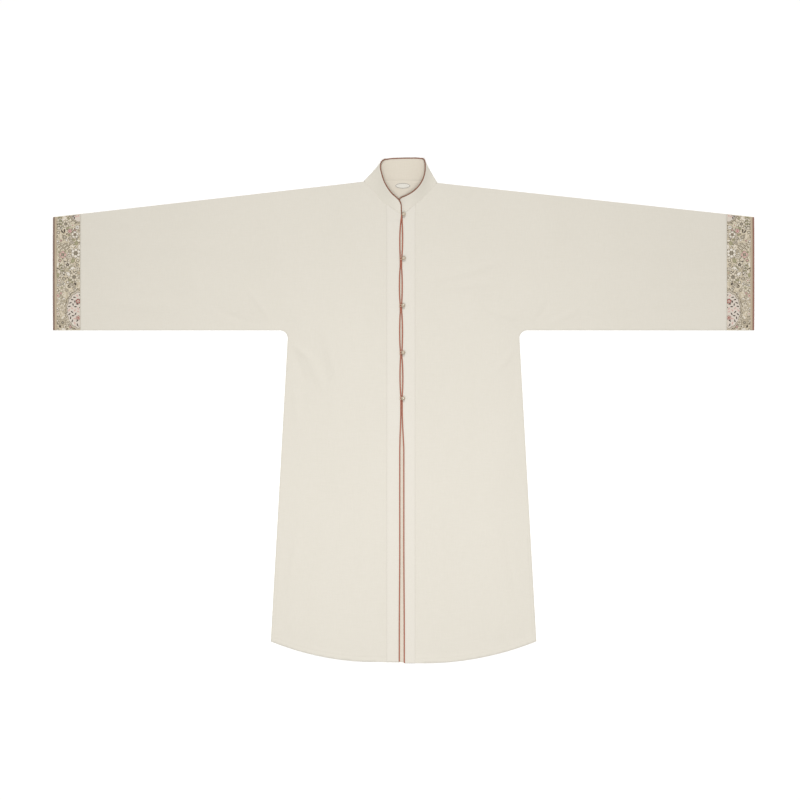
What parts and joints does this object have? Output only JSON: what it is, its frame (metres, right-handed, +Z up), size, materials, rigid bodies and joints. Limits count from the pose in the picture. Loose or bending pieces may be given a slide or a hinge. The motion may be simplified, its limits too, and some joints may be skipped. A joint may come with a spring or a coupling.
{
  "type": "standing-collar long hanfu shirt, laid flat",
  "caption": "Long standing-collar shirt laid flat in a T shape, with a buttoned front opening, piped edges, straight sleeves and patterned cuff bands.",
  "frame": {"origin": "on the ground, under the middle of the laid-out garment's outline", "axes": "+X along the sleeves towards the wearer's left cuff, +Y from the hem to the collar, +Z up out of the front"},
  "size_m": [1.7556, 1.266, 0.0221],
  "materials": {
    "cloth": "cream cloth with a soft satin sheen",
    "band": "slightly lighter cream cloth",
    "piping": "terracotta satin piping",
    "jacquard": "taupe and cream floral jacquard",
    "tan_strip": "plain tan woven strip",
    "button": "pearl beige ball button",
    "label": "blank off-white woven label"
  },
  "bodies": {
    "root": {"back": "cloth", "front_right": "cloth", "front_left": "cloth", "placket_right": "band", "placket_left": "band", "front_piping_right": "piping", "front_piping_left": "piping", "collar": "cloth", "collar_piping": "piping", "cuff_right": "jacquard", "cuff_left": "jacquard", "cuff_strip_right": "tan_strip", "cuff_strip_left": "tan_strip", "cuff_edge_right": "piping", "cuff_edge_left": "piping", "button_1": "button", "button_2": "button", "button_3": "button", "button_4": "button", "button_5": "button", "loop_1": "piping", "loop_2": "piping", "loop_3": "piping", "loop_4": "piping", "loop_5": "piping", "neck_label": "label"}
  },
  "joints": []
}
